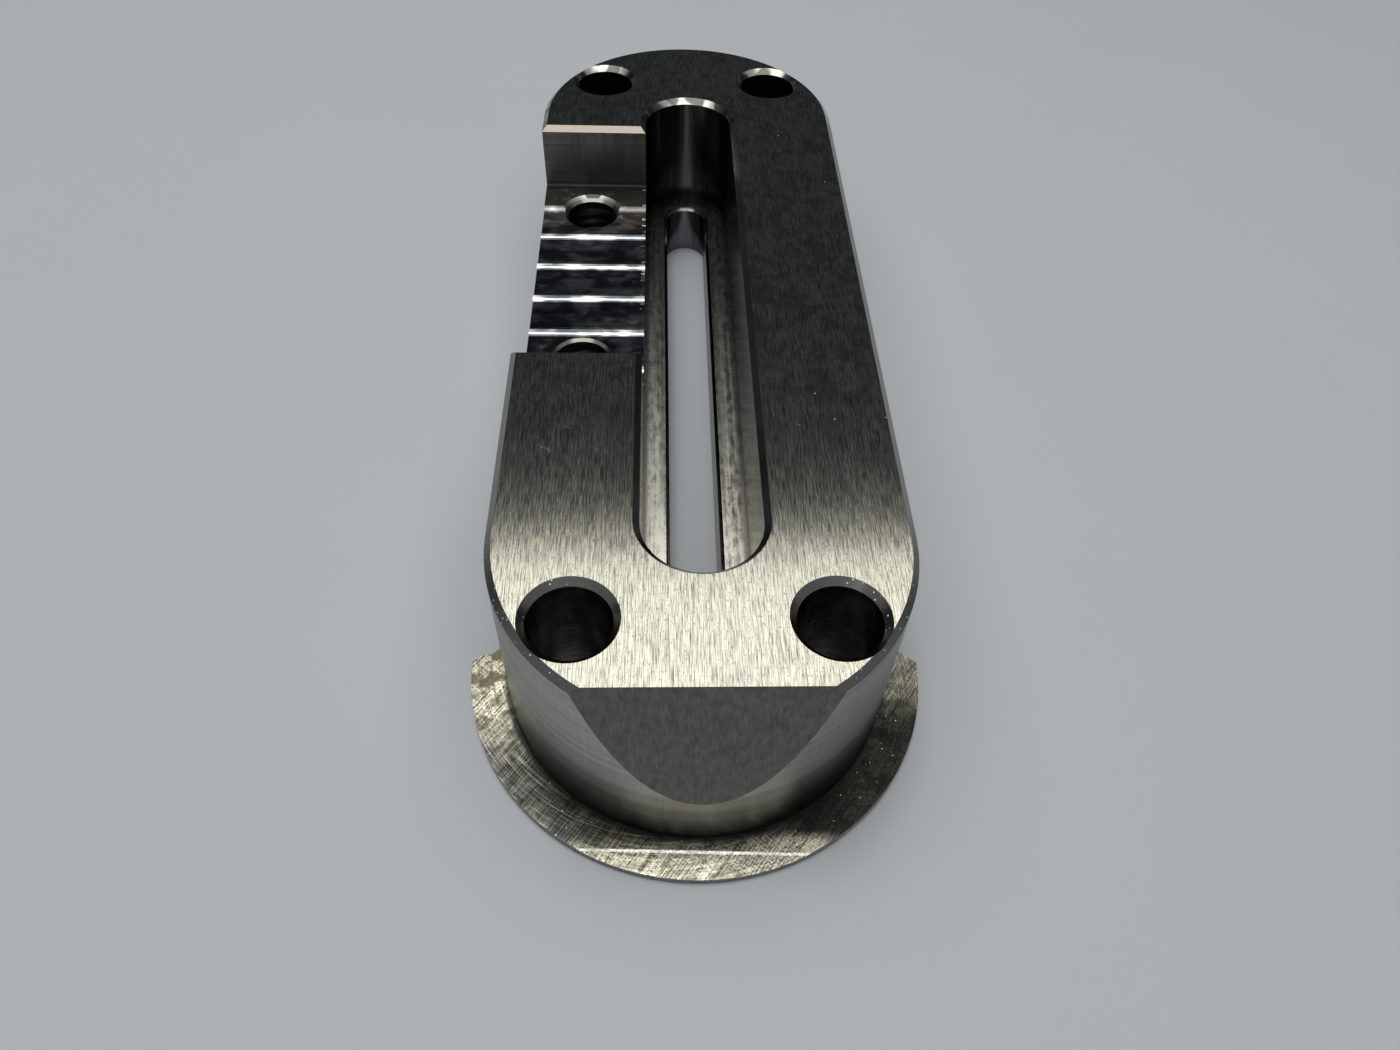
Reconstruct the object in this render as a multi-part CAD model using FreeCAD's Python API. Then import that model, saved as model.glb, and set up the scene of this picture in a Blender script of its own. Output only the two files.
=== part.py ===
"""Round-ended slotted block, milled in one piece from aluminium bar.

Units are millimetres and +Z is up. The block lies along Y. The origin is on the underside, at the
middle of the four corner holes. The -Y end carries the inclined flat and the thin web of stock that
is left standing around its foot; the notch is milled into the -X rail.
"""
import FreeCAD, Part
import math
import os

from FreeCAD import Vector

NODE = "slotted_block"

# Body: two full round ends joined by straight sides.
BODY_WIDTH = 30.0
BODY_HEIGHT = 17.0
END_CENTRES = 56.8            # between the axes of the two round ends
OUTER_CHAMFER = 0.5           # round the upper outline

# Inclined flat that faces the -Y end.
FLAT_SETBACK = 2.85           # how far its top edge stands back from the end of the block
FLAT_ANGLE = 15.0             # degrees away from vertical

# Slot: a wide upper slot with a ledge, and a narrow slot on through the ledge.
SLOT_WIDTH = 8.8
SLOT_INSET = 1.4              # slot end axis inside the body's end axis
SLOT_CHAMFER = 0.5
LEDGE_THICKNESS = 5.3
LOWER_SLOT_WIDTH = 4.2
LEDGE_EDGE_BREAK = 0.3

# Corner holes, one pair about each end axis.
HOLE_DIAMETER = 5.8
HOLE_CHAMFER = 0.5
HOLE_FROM_WALL = 3.7          # hole axis in from the outer wall, measured along a radius
HOLE_ANGLE = 38.5             # degrees from the X direction, out towards the end

# Notch through the -X rail, milled in passes that run across the rail.
NOTCH_DEPTH = 6.9
NOTCH_FROM_NEAR_AXIS = 19.3   # -Y end axis to the notch's near wall
NOTCH_FROM_FAR_AXIS = 3.1     # notch's far wall to the +Y end axis
NOTCH_CHAMFER = 0.5
CUTTER_DIAMETER = 6.0
CUTTER_CORNER_RADIUS = 1.3
FINISHING_CORNER_RADIUS = 0.3  # of the sharper cutter that finishes the far wall
PASS_STEP = 5.0
LAST_PASS_LIFT = 0.3          # the pass along the far wall runs this much shallower

# Tapped holes in the notch floor.
TAPPED_DRILL = 5.0
TAPPED_COUNTERSINK = 5.5
TAPPED_FROM_OUTER_WALL = 5.0
TAPPED_FROM_NEAR_WALL = 6.9
TAPPED_FROM_FAR_WALL = 4.7

# Web of stock left round the foot of the -Y end.
WEB_WIDTH = 3.0
WEB_THICKNESS = 0.8
WEB_SKIM_DEPTH = 0.15         # the outermost facing pass dips this far below the rest
WEB_SKIM_RISER = 0.25         # width of the slope between the two levels
WEB_SKIM_WIDTH = 2.1          # in from the tip of the web to the top of that slope
WEB_SKIM_SKEW = 2.0           # degrees, the pass against the X direction
# Torn ends of the web as (outwards from the wall, along +Y from the end axis).
WEB_TORN_LEFT = ((0.0, 1.5), (1.0, 1.15), (1.5, 0.65), (2.3, 0.5), (2.6, 0.25))
WEB_TORN_RIGHT = ((0.0, -0.1), (1.1, 0.3), (1.45, 0.6), (1.75, 0.65), (2.05, 0.45), (2.4, 0.15))
WEB_TIP_LEFT = -0.1           # where each torn end meets the outer arc, along Y
WEB_TIP_RIGHT = -0.3

OVERSHOOT = 1.0               # how far each cutting tool runs past the faces it opens

END_RADIUS = BODY_WIDTH / 2
NEAR_AXIS_Y = -END_CENTRES / 2
FAR_AXIS_Y = END_CENTRES / 2
NOTCH_NEAR_Y = NEAR_AXIS_Y + NOTCH_FROM_NEAR_AXIS
NOTCH_FAR_Y = FAR_AXIS_Y - NOTCH_FROM_FAR_AXIS
NOTCH_FLOOR_Z = BODY_HEIGHT - NOTCH_DEPTH
TAPPED_X = TAPPED_FROM_OUTER_WALL - END_RADIUS


def round_ended_wire(radius, centres, z):
    """Closed outline of two half circles and two straight sides, lying level at height z."""
    half = centres / 2
    right_near = Vector(radius, -half, z)
    right_far = Vector(radius, half, z)
    left_far = Vector(-radius, half, z)
    left_near = Vector(-radius, -half, z)
    return Part.Wire([
        Part.makeLine(right_near, right_far),
        Part.Arc(right_far, Vector(0, half + radius, z), left_far).toShape(),
        Part.makeLine(left_far, left_near),
        Part.Arc(left_near, Vector(0, -half - radius, z), right_near).toShape(),
    ])


def round_ended_prism(radius, centres, bottom, top):
    """Upright solid on a round-ended outline."""
    face = Part.Face(round_ended_wire(radius, centres, bottom))
    return face.extrude(Vector(0, 0, top - bottom))


def round_ended_flare(radius, centres, width, edge_z):
    """45 degree countersink for a round-ended opening whose upper edge is at edge_z."""
    low = round_ended_wire(radius, centres, edge_z - width)
    high = round_ended_wire(radius + width + OVERSHOOT, centres, edge_z + OVERSHOOT)
    return Part.makeLoft([low, high], True, True)


def body_blank():
    """The round-ended block with its upper outline chamfered."""
    blank = round_ended_prism(END_RADIUS, END_CENTRES, 0, BODY_HEIGHT)
    rim = [edge for edge in blank.Edges
           if abs(edge.BoundBox.ZMin - BODY_HEIGHT) < 1e-6]
    return blank.makeChamfer(OUTER_CHAMFER, rim)


def inclined_flat_cutter():
    """Wedge outside the flat that leans in towards the top of the -Y end."""
    slope = math.tan(math.radians(FLAT_ANGLE))
    edge_y = NEAR_AXIS_Y - END_RADIUS + FLAT_SETBACK
    reach = END_RADIUS + OVERSHOOT
    outside_y = NEAR_AXIS_Y - reach
    top = BODY_HEIGHT + OVERSHOOT
    run_out_z = BODY_HEIGHT - (edge_y - outside_y) / slope
    profile = Part.makePolygon([
        Vector(-reach, outside_y, run_out_z),
        Vector(-reach, edge_y + OVERSHOOT * slope, top),
        Vector(-reach, outside_y, top),
        Vector(-reach, outside_y, run_out_z),
    ])
    return Part.Face(profile).extrude(Vector(2 * reach, 0, 0))


def slot_cutter():
    """The stepped slot: wide above the ledge, narrow through it, both edges broken."""
    centres = END_CENTRES - 2 * SLOT_INSET
    upper_radius = SLOT_WIDTH / 2
    lower_radius = LOWER_SLOT_WIDTH / 2
    top = BODY_HEIGHT + OVERSHOOT
    upper = round_ended_prism(upper_radius, centres, LEDGE_THICKNESS, top)
    mouth = round_ended_flare(upper_radius, centres, SLOT_CHAMFER, BODY_HEIGHT)
    lower = round_ended_prism(lower_radius, centres, -OVERSHOOT, LEDGE_THICKNESS + OVERSHOOT)
    ledge_break = round_ended_flare(lower_radius, centres, LEDGE_EDGE_BREAK, LEDGE_THICKNESS)
    return upper.fuse([mouth, lower, ledge_break])


def countersunk_hole_cutter(x, y, radius, chamfer, top_z):
    """Hole through to the underside with a 45 degree countersink at top_z."""
    start = Vector(x, y, -OVERSHOOT)
    bore = Part.makeCylinder(radius, top_z + 2 * OVERSHOOT, start)
    mouth = Part.makeCone(radius, radius + chamfer + OVERSHOOT, chamfer + OVERSHOOT,
                          Vector(x, y, top_z - chamfer))
    return bore.fuse(mouth)


def corner_hole_cutters():
    """The four screw holes, mirrored about both centre planes."""
    angle = math.radians(HOLE_ANGLE)
    distance = END_RADIUS - HOLE_FROM_WALL
    x = distance * math.cos(angle)
    y = FAR_AXIS_Y + distance * math.sin(angle)
    return [countersunk_hole_cutter(side * x, end * y, HOLE_DIAMETER / 2, HOLE_CHAMFER, BODY_HEIGHT)
            for side in (-1, 1) for end in (-1, 1)]


def tapped_hole_cutters():
    """Two drilled and countersunk holes in the notch floor."""
    chamfer = (TAPPED_COUNTERSINK - TAPPED_DRILL) / 2
    places = (NOTCH_NEAR_Y + TAPPED_FROM_NEAR_WALL, NOTCH_FAR_Y - TAPPED_FROM_FAR_WALL)
    return [countersunk_hole_cutter(TAPPED_X, y, TAPPED_DRILL / 2, chamfer, NOTCH_FLOOR_Z)
            for y in places]


def cutter_pass(centre_y, floor_z, corner):
    """Room swept by one straight pass across the rail: flat below, rounded at the cutter's corners."""
    x = -END_RADIUS - OVERSHOOT
    half = CUTTER_DIAMETER / 2
    shoulder = floor_z + corner
    lift = corner * (1 - math.sqrt(0.5))
    top = BODY_HEIGHT + OVERSHOOT

    def at(offset, z):
        return Vector(x, centre_y + offset, z)

    outline = Part.Wire([
        Part.makeLine(at(-half, top), at(-half, shoulder)),
        Part.Arc(at(-half, shoulder), at(lift - half, floor_z + lift), at(corner - half, floor_z)).toShape(),
        Part.makeLine(at(corner - half, floor_z), at(half - corner, floor_z)),
        Part.Arc(at(half - corner, floor_z), at(half - lift, floor_z + lift), at(half, shoulder)).toShape(),
        Part.makeLine(at(half, shoulder), at(half, top)),
        Part.makeLine(at(half, top), at(-half, top)),
    ])
    return Part.Face(outline).extrude(Vector(-x, 0, 0))


def notch_cutters():
    """All passes of the notch, and the chamfers along its two upper edges."""
    half = CUTTER_DIAMETER / 2
    first = NOTCH_NEAR_Y + half
    last = NOTCH_FAR_Y - half
    steps = math.ceil((last - first) / PASS_STEP)
    passes = [
        cutter_pass(first + step * PASS_STEP, NOTCH_FLOOR_Z, CUTTER_CORNER_RADIUS) for step in range(steps)
    ]
    passes.append(cutter_pass(last, NOTCH_FLOOR_Z + LAST_PASS_LIFT, FINISHING_CORNER_RADIUS))

    x = -END_RADIUS - OVERSHOOT
    flare = NOTCH_CHAMFER + OVERSHOOT
    low = BODY_HEIGHT - NOTCH_CHAMFER
    high = BODY_HEIGHT + OVERSHOOT
    mouth = Part.makePolygon([
        Vector(x, NOTCH_NEAR_Y, low),
        Vector(x, NOTCH_FAR_Y, low),
        Vector(x, NOTCH_FAR_Y + flare, high),
        Vector(x, NOTCH_NEAR_Y - flare, high),
        Vector(x, NOTCH_NEAR_Y, low),
    ])
    return passes + [Part.Face(mouth).extrude(Vector(-x, 0, 0))]


def web():
    """Thin half ring of stock round the foot of the -Y end, with its two torn ends."""
    radius = END_RADIUS + WEB_WIDTH

    def tip(side, along):
        return Vector(side * math.sqrt(radius ** 2 - along ** 2), NEAR_AXIS_Y + along, 0)

    def torn_edge(side, points, along):
        inner = Vector(side * (END_RADIUS - OVERSHOOT), NEAR_AXIS_Y + points[0][1], 0)
        torn = [Vector(side * (END_RADIUS + out), NEAR_AXIS_Y + y, 0) for out, y in points]
        return [inner] + torn + [tip(side, along)]

    left = torn_edge(-1, WEB_TORN_LEFT, WEB_TIP_LEFT)
    right = torn_edge(1, WEB_TORN_RIGHT, WEB_TIP_RIGHT)
    chain = list(reversed(right)) + left
    straight = [Part.makeLine(start, end) for start, end in zip(chain, chain[1:])]
    rim = Part.Arc(left[-1], Vector(0, NEAR_AXIS_Y - radius, 0), right[-1]).toShape()
    plan = Part.Face(Part.Wire(straight + [rim]))
    return plan.extrude(Vector(0, 0, WEB_THICKNESS))


def web_skim_cutter():
    """Shallow facing cut over the tip of the web, with a sloping riser at its inner side."""
    reach = END_RADIUS + WEB_WIDTH
    tip_y = NEAR_AXIS_Y - reach
    riser_y = tip_y + WEB_SKIM_WIDTH
    low = WEB_THICKNESS - WEB_SKIM_DEPTH
    profile = Part.makePolygon([
        Vector(-reach, tip_y - OVERSHOOT, low),
        Vector(-reach, riser_y - WEB_SKIM_RISER, low),
        Vector(-reach, riser_y, WEB_THICKNESS),
        Vector(-reach, riser_y, WEB_THICKNESS + WEB_SKIM_DEPTH),
        Vector(-reach, tip_y - OVERSHOOT, WEB_THICKNESS + WEB_SKIM_DEPTH),
        Vector(-reach, tip_y - OVERSHOOT, low),
    ])
    cutter = Part.Face(profile).extrude(Vector(2 * reach, 0, 0))
    cutter.rotate(Vector(0, riser_y, 0), Vector(0, 0, 1), -WEB_SKIM_SKEW)
    return cutter


def slotted_block():
    """The finished part as one solid."""
    block = body_blank().cut(inclined_flat_cutter())
    foot = web().cut(web_skim_cutter())
    block = block.fuse(foot).removeSplitter()
    block = block.cut(slot_cutter())
    block = block.cut(notch_cutters())
    block = block.cut(corner_hole_cutters() + tapped_hole_cutters())
    return block.removeSplitter()


def main():
    os.makedirs("parts", exist_ok=True)
    shape = slotted_block()
    if len(shape.Solids) != 1 or not shape.isValid():
        raise RuntimeError("the block is not one valid solid")
    solid = shape.Solids[0]
    box = solid.BoundBox
    solid.exportStep(os.path.join("parts", NODE + ".step"))
    print(f"{NODE}: {box.XLength:.2f} x {box.YLength:.2f} x {box.ZLength:.2f} mm, "
          f"{solid.Volume / 1000:.2f} cm3, {len(solid.Faces)} faces")


main()
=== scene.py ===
"""Dresses a milled, round-ended slotted block in its machined finishes and lays it on a pale table.

Everything is in metres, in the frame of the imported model: +Z up, +Y along the block, origin on the
underside at the middle of the four corner holes. Sizes in the classes are in millimetres and angles
in degrees. A Span is the two ends that a change eases between, from none to all of it.
"""
import logging
import math
from dataclasses import dataclass, field
from enum import Enum
from typing import Optional, Union

import bpy
from mathutils import Matrix, Vector


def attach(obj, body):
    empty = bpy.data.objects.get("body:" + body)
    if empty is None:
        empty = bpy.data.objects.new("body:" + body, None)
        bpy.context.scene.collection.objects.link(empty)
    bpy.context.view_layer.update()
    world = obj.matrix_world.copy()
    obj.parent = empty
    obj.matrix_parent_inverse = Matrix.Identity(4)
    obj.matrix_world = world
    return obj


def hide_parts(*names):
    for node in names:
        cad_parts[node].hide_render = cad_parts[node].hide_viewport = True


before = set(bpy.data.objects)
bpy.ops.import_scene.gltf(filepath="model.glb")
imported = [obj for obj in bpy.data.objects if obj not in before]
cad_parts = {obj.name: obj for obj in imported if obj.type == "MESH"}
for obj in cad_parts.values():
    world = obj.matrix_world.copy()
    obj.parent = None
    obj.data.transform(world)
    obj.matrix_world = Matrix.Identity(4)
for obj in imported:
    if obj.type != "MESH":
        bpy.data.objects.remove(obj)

MM = 0.001
NODE = "slotted_block"
Number = Union[int, float]
Colour = tuple[float, float, float]
Place = tuple[float, float, float]
Span = tuple[float, float]
BACKDROP: Colour = (0.40, 0.43, 0.45)
GRAIN_ROUGHNESS = 0.55
GRAIN_SHIFT: Place = (1.0, 1.7, 2.3)
SPECK_SHIFT: Place = (1.0, 1.3, 0.7)
log = logging.getLogger(NODE)


# ---------------------------------------------------------------------------------------------
# Shader maths
# ---------------------------------------------------------------------------------------------

class Value:
    """A socket in a node tree, wrapped so that shader maths reads as plain expressions."""

    def __init__(self, graph: "Graph", socket: bpy.types.NodeSocket) -> None:
        """Wraps a socket.

        Args:
            graph: the material's node tree.
            socket: the output that gives the number, colour, vector or shader.
        """
        self.graph = graph
        self.socket = socket

    def _math(self, operation: str, *operands: "Operand") -> "Value":
        """Adds one Math node on the operands."""
        return self.graph.node("ShaderNodeMath", {"operation": operation}, dict(enumerate(operands)))

    def __add__(self, other: "Operand") -> "Value":
        """Sum."""
        return self._math("ADD", self, other)

    __radd__ = __add__

    def __sub__(self, other: "Operand") -> "Value":
        """Difference."""
        return self._math("SUBTRACT", self, other)

    def __rsub__(self, other: "Operand") -> "Value":
        """Difference from a plain number."""
        return self._math("SUBTRACT", other, self)

    def __mul__(self, other: "Operand") -> "Value":
        """Product."""
        return self._math("MULTIPLY", self, other)

    __rmul__ = __mul__

    def size(self) -> "Value":
        """Magnitude without sign."""
        return self._math("ABSOLUTE", self)

    def at_most(self, other: "Operand") -> "Value":
        """The smaller of the two."""
        return self._math("MINIMUM", self, other)

    def over(self, other: "Operand") -> "Value":
        """1 where this is more than the other, else 0."""
        return self._math("GREATER_THAN", self, other)

    def sine(self) -> "Value":
        """Sine of an angle in radians."""
        return self._math("SINE", self)

    def saw(self) -> "Value":
        """Fraction above the whole number below."""
        return self._math("FRACT", self)

    def angle_to(self, other: "Operand") -> "Value":
        """Angle of the point whose second coordinate is this and whose first is the other."""
        return self._math("ARCTAN2", self, other)

    def ramp(self, low: Number, high: Number) -> "Value":
        """Eases from 0 at low to 1 at high, falling where high is the smaller.

        Args:
            low: where the result is 0.
            high: where the result is 1.

        Returns:
            The eased value, between 0 and 1.
        """
        return self.graph.node(
            "ShaderNodeMapRange", {"interpolation_type": "SMOOTHSTEP"},
            {"Value": self, "From Min": low, "From Max": high}, "Result",
        )


Operand = Union[Value, int, float]
Shade = Union[Value, Colour]
Sockets = dict[Union[str, int], object]


class Graph:
    """One material's node tree, and the one way that nodes are added to it."""

    def __init__(self, name: str) -> None:
        """Starts an empty material.

        Args:
            name: the material's name.
        """
        self.material = bpy.data.materials.new(name)
        self.material.use_nodes = True
        self.tree = self.material.node_tree
        self.tree.nodes.clear()

    def node(self, kind: str, settings: dict[str, object], sockets: Sockets,
             output: Union[str, int] = 0) -> Value:
        """Adds a node, sets it up and links it.

        Args:
            kind: the node's type name.
            settings: the node's own settings, made first.
            sockets: values or links for its inputs, by name or number.
            output: which of its outputs to give back.

        Returns:
            The chosen output.
        """
        made = self.tree.nodes.new(kind)
        for key, setting in settings.items():
            setattr(made, key, setting)
        for key, given in sockets.items():
            if isinstance(given, Value):
                self.tree.links.new(given.socket, made.inputs[key])
            else:
                made.inputs[key].default_value = given
        return Value(self, made.outputs[output]) if len(made.outputs) else Value(self, None)

    def millimetres(self, slant: float = 0.0) -> Value:
        """Object coordinates in millimetres.

        Args:
            slant: turn of the pattern about Z, in degrees.

        Returns:
            The coordinates as a vector.
        """
        place = self.node("ShaderNodeTexCoord", {}, {}, "Object")
        return self.node(
            "ShaderNodeMapping", {},
            {"Vector": place, "Rotation": (0.0, 0.0, math.radians(slant)), "Scale": (1 / MM,) * 3},
        )

    def parts(self, vector: Value) -> tuple[Value, Value, Value]:
        """Splits a vector into X, Y and Z."""
        outputs = self.node("ShaderNodeSeparateXYZ", {}, {"Vector": vector}).socket.node.outputs
        return Value(self, outputs[0]), Value(self, outputs[1]), Value(self, outputs[2])

    def join(self, x: Operand, y: Operand, z: Operand) -> Value:
        """Joins three numbers into a vector."""
        return self.node("ShaderNodeCombineXYZ", {}, {"X": x, "Y": y, "Z": z})

    def length(self, x: Operand, y: Operand) -> Value:
        """Distance of a point in a plane from its origin."""
        flat = self.join(x, y, 0.0)
        return self.node("ShaderNodeVectorMath", {"operation": "LENGTH"}, {0: flat}, "Value")

    def grain(self, place: Value, cell: Place, detail: float = 2.0, seed: float = 0.0) -> Value:
        """Soft noise with cells of the given size.

        Args:
            place: coordinates in millimetres.
            cell: length of a cell along X, Y and Z, in millimetres.
            detail: octaves of finer noise added to it.
            seed: picks another pattern of the same kind.

        Returns:
            Noise between 0 and 1, about 0.5 on average.
        """
        scaled = self.node(
            "ShaderNodeMapping", {},
            {"Vector": place, "Location": tuple(seed * step for step in GRAIN_SHIFT),
             "Scale": tuple(1.0 / length for length in cell)},
        )
        return self.node(
            "ShaderNodeTexNoise", {},
            {"Vector": scaled, "Scale": 1.0, "Detail": detail, "Roughness": GRAIN_ROUGHNESS}, "Fac",
        )

    def specks(self, place: Value, spacing: float, radius: float, share: float,
               seed: float = 0.0) -> Value:
        """Small round specks scattered over the surface.

        Args:
            place: coordinates in millimetres.
            spacing: distance between the cells that may hold a speck.
            radius: radius of a speck, in millimetres.
            share: share of the cells that hold one.
            seed: picks another scatter.

        Returns:
            1 in a speck and 0 elsewhere.
        """
        scaled = self.node(
            "ShaderNodeMapping", {},
            {"Vector": place, "Location": tuple(seed * step for step in SPECK_SHIFT),
             "Scale": (1 / spacing,) * 3},
        )
        near = self.node("ShaderNodeTexVoronoi", {}, {"Vector": scaled, "Scale": 1.0}, "Distance")
        colour = Value(self, near.socket.node.outputs["Color"])
        chance = self.parts(colour)[0]
        return near.ramp(radius / spacing, 0.5 * radius / spacing) * (1.0 - chance.over(share))

    def blend(self, mask: Operand, first: Shade, second: Shade) -> Value:
        """Mixes two colours.

        Args:
            mask: 0 gives the first colour and 1 the second.
            first: the colour where the mask is 0.
            second: the colour where the mask is 1.

        Returns:
            The mixed colour.
        """
        low, high = (shade if isinstance(shade, Value) else (*shade, 1.0) for shade in (first, second))
        return self.node("ShaderNodeMix", {"data_type": "RGBA"}, {0: mask, 6: low, 7: high}, 2)

    def relief(self, height: Value, depth: float, under: Optional[Value] = None) -> Value:
        """Turns a height between 0 and 1 into a surface normal.

        Args:
            height: the relief's pattern.
            depth: how deep the pattern is from 0 to 1, in millimetres.
            under: another relief that this one lies on.

        Returns:
            The normal.
        """
        sockets: Sockets = {"Height": height, "Distance": depth * MM, "Strength": 1.0}
        if under is not None:
            sockets["Normal"] = under
        return self.node("ShaderNodeBump", {}, sockets)

    def shader(self, colour: Shade, roughness: Operand, normal: Optional[Value] = None,
               metallic: Operand = 1.0, glance: float = 1.0) -> Value:
        """Makes the surface shader.

        Args:
            colour: reflected colour.
            roughness: how dull the surface is.
            normal: its relief.
            metallic: 1 for bare metal, 0 for paint, dirt or dust.
            glance: how bright a reflection seen along the surface is, 1 for clean metal.

        Returns:
            The shader.
        """
        sockets: Sockets = {
            "Base Color": colour if isinstance(colour, Value) else (*colour, 1.0),
            "Roughness": roughness,
            "Metallic": metallic,
            "Specular Tint": (glance, glance, glance, 1.0),
        }
        if normal is not None:
            sockets["Normal"] = normal
        return self.node("ShaderNodeBsdfPrincipled", {}, sockets)

    def surface(self, colour: Shade, roughness: Operand, normal: Optional[Value] = None,
                metallic: Operand = 1.0, glance: float = 1.0) -> bpy.types.Material:
        """Makes the surface shader and links it to the material's output.

        Args:
            colour: reflected colour.
            roughness: how dull the surface is.
            normal: its relief.
            metallic: 1 for bare metal, 0 for paint, dirt or dust.
            glance: how bright a reflection seen along the surface is, 1 for clean metal.

        Returns:
            The finished material.
        """
        shader = self.shader(colour, roughness, normal, metallic, glance)
        self.node("ShaderNodeOutputMaterial", {}, {"Surface": shader})
        return self.material


# ---------------------------------------------------------------------------------------------
# Sizes
# ---------------------------------------------------------------------------------------------

@dataclass(frozen=True)
class BlockSizes:
    """Where the block's features lie, in millimetres, so that each face can be told by its place."""

    end_radius: float = 15.0
    end_axis_y: float = 28.4
    height: float = 17.0
    edge_break: float = 0.5
    flat_angle: float = 15.0
    slot_radius: float = 4.4
    slot_axis_y: float = 27.0
    ledge_z: float = 5.3
    hole_radius: float = 2.9
    hole_x: float = 8.843
    hole_y: float = 35.434
    notch_near_y: float = -9.1
    notch_far_y: float = 25.3
    notch_floor_z: float = 10.1
    finish_radius: float = 0.3
    tapped_x: float = -10.0
    tapped_near_y: float = -2.2
    tapped_far_y: float = 20.6
    tapped_mouth: float = 2.75
    web_z: float = 0.8
    web_radius: float = 18.0

    def tapped_centres(self) -> list[tuple[float, float]]:
        """Axes of the two holes in the notch floor."""
        return [(self.tapped_x, self.tapped_near_y), (self.tapped_x, self.tapped_far_y)]

    def corner_centres(self) -> list[tuple[float, float]]:
        """Axes of the four corner holes."""
        return [(i * self.hole_x, j * self.hole_y) for i in (-1, 1) for j in (-1, 1)]


class Region(Enum):
    """The finishes that the tools leave on the block."""

    TOP = "brushed_top"
    EDGE = "edge_break"
    OUTER_WALL = "outer_wall"
    FLAT = "inclined_flat"
    SLOT_WALL = "slot_wall"
    LEDGE = "slot_ledge"
    NOTCH_FLOOR = "notch_floor"
    NOTCH_WALL = "notch_wall"
    BORE = "drilled_bore"
    TAPPED = "tapped_bore"
    WEB = "web_top"
    WEB_RIM = "web_rim"
    UNDERSIDE = "underside"


# ---------------------------------------------------------------------------------------------
# Finishes
# ---------------------------------------------------------------------------------------------

@dataclass(frozen=True)
class BrushedTop:
    """Top face, brushed along the block, with a few scratches and dust."""

    colour: Colour = (0.65, 0.645, 0.57)
    groove: Colour = (0.13, 0.13, 0.12)
    scratch: Colour = (0.75, 0.74, 0.70)
    dust: Colour = (0.80, 0.80, 0.80)
    roughness: float = 0.085
    brush_depth: float = 0.0040
    scratch_depth: float = 0.0025
    long_slant: float = 7.0
    cross_slant: float = -58.0
    clouded_y: Span = (-30.0, -8.0)

    def material(self) -> bpy.types.Material:
        """Makes the finish.

        Returns:
            The material.
        """
        g = Graph(Region.TOP.value)
        place = g.millimetres()
        y = g.parts(place)[1]
        lines = g.grain(place, (0.050, 1.30, 1.0), 1.5)
        strands = g.grain(place, (0.10, 3.6, 1.0), 2.0, 7.0)
        bands = g.grain(place, (0.9, 30.0, 1.0), 2.0, 5.0)
        pits = g.grain(place, (0.09, 0.30, 1.0), 1.0, 13.0).ramp(0.58, 0.70)
        along, across = g.millimetres(self.long_slant), g.millimetres(self.cross_slant)
        long_scratch = g.grain(along, (0.10, 7.0, 1.0), 0.0, 21.0).ramp(0.80, 0.85)
        cross_scratch = g.grain(across, (0.07, 3.0, 1.0), 0.0, 4.0).ramp(0.86, 0.90)
        dust = g.specks(place, 1.3, 0.05, 0.10)
        brushed = (lines * 0.6 + strands * 0.4).ramp(0.32, 0.60)
        clouds = g.grain(place, (1.1, 1.5, 1.0), 3.0, 15.0).ramp(0.42, 0.64) * y.ramp(*self.clouded_y)
        colour = g.blend(brushed, self.groove, self.colour)
        colour = g.blend(pits * 0.6, colour, self.groove)
        colour = g.blend(clouds * 0.45, colour, self.groove)
        colour = g.blend(long_scratch * 0.3 + cross_scratch * 0.15, colour, self.scratch)
        colour = g.blend(dust, colour, self.dust)
        roughness = self.roughness + lines * 0.06 + dust * 0.5 + bands * 0.03
        normal = g.relief(lines * 0.6 + strands * 0.4, self.brush_depth)
        normal = g.relief(long_scratch + cross_scratch * 0.4, self.scratch_depth, normal)
        return g.surface(colour, roughness, normal, 1.0 - dust * 0.9)


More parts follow.
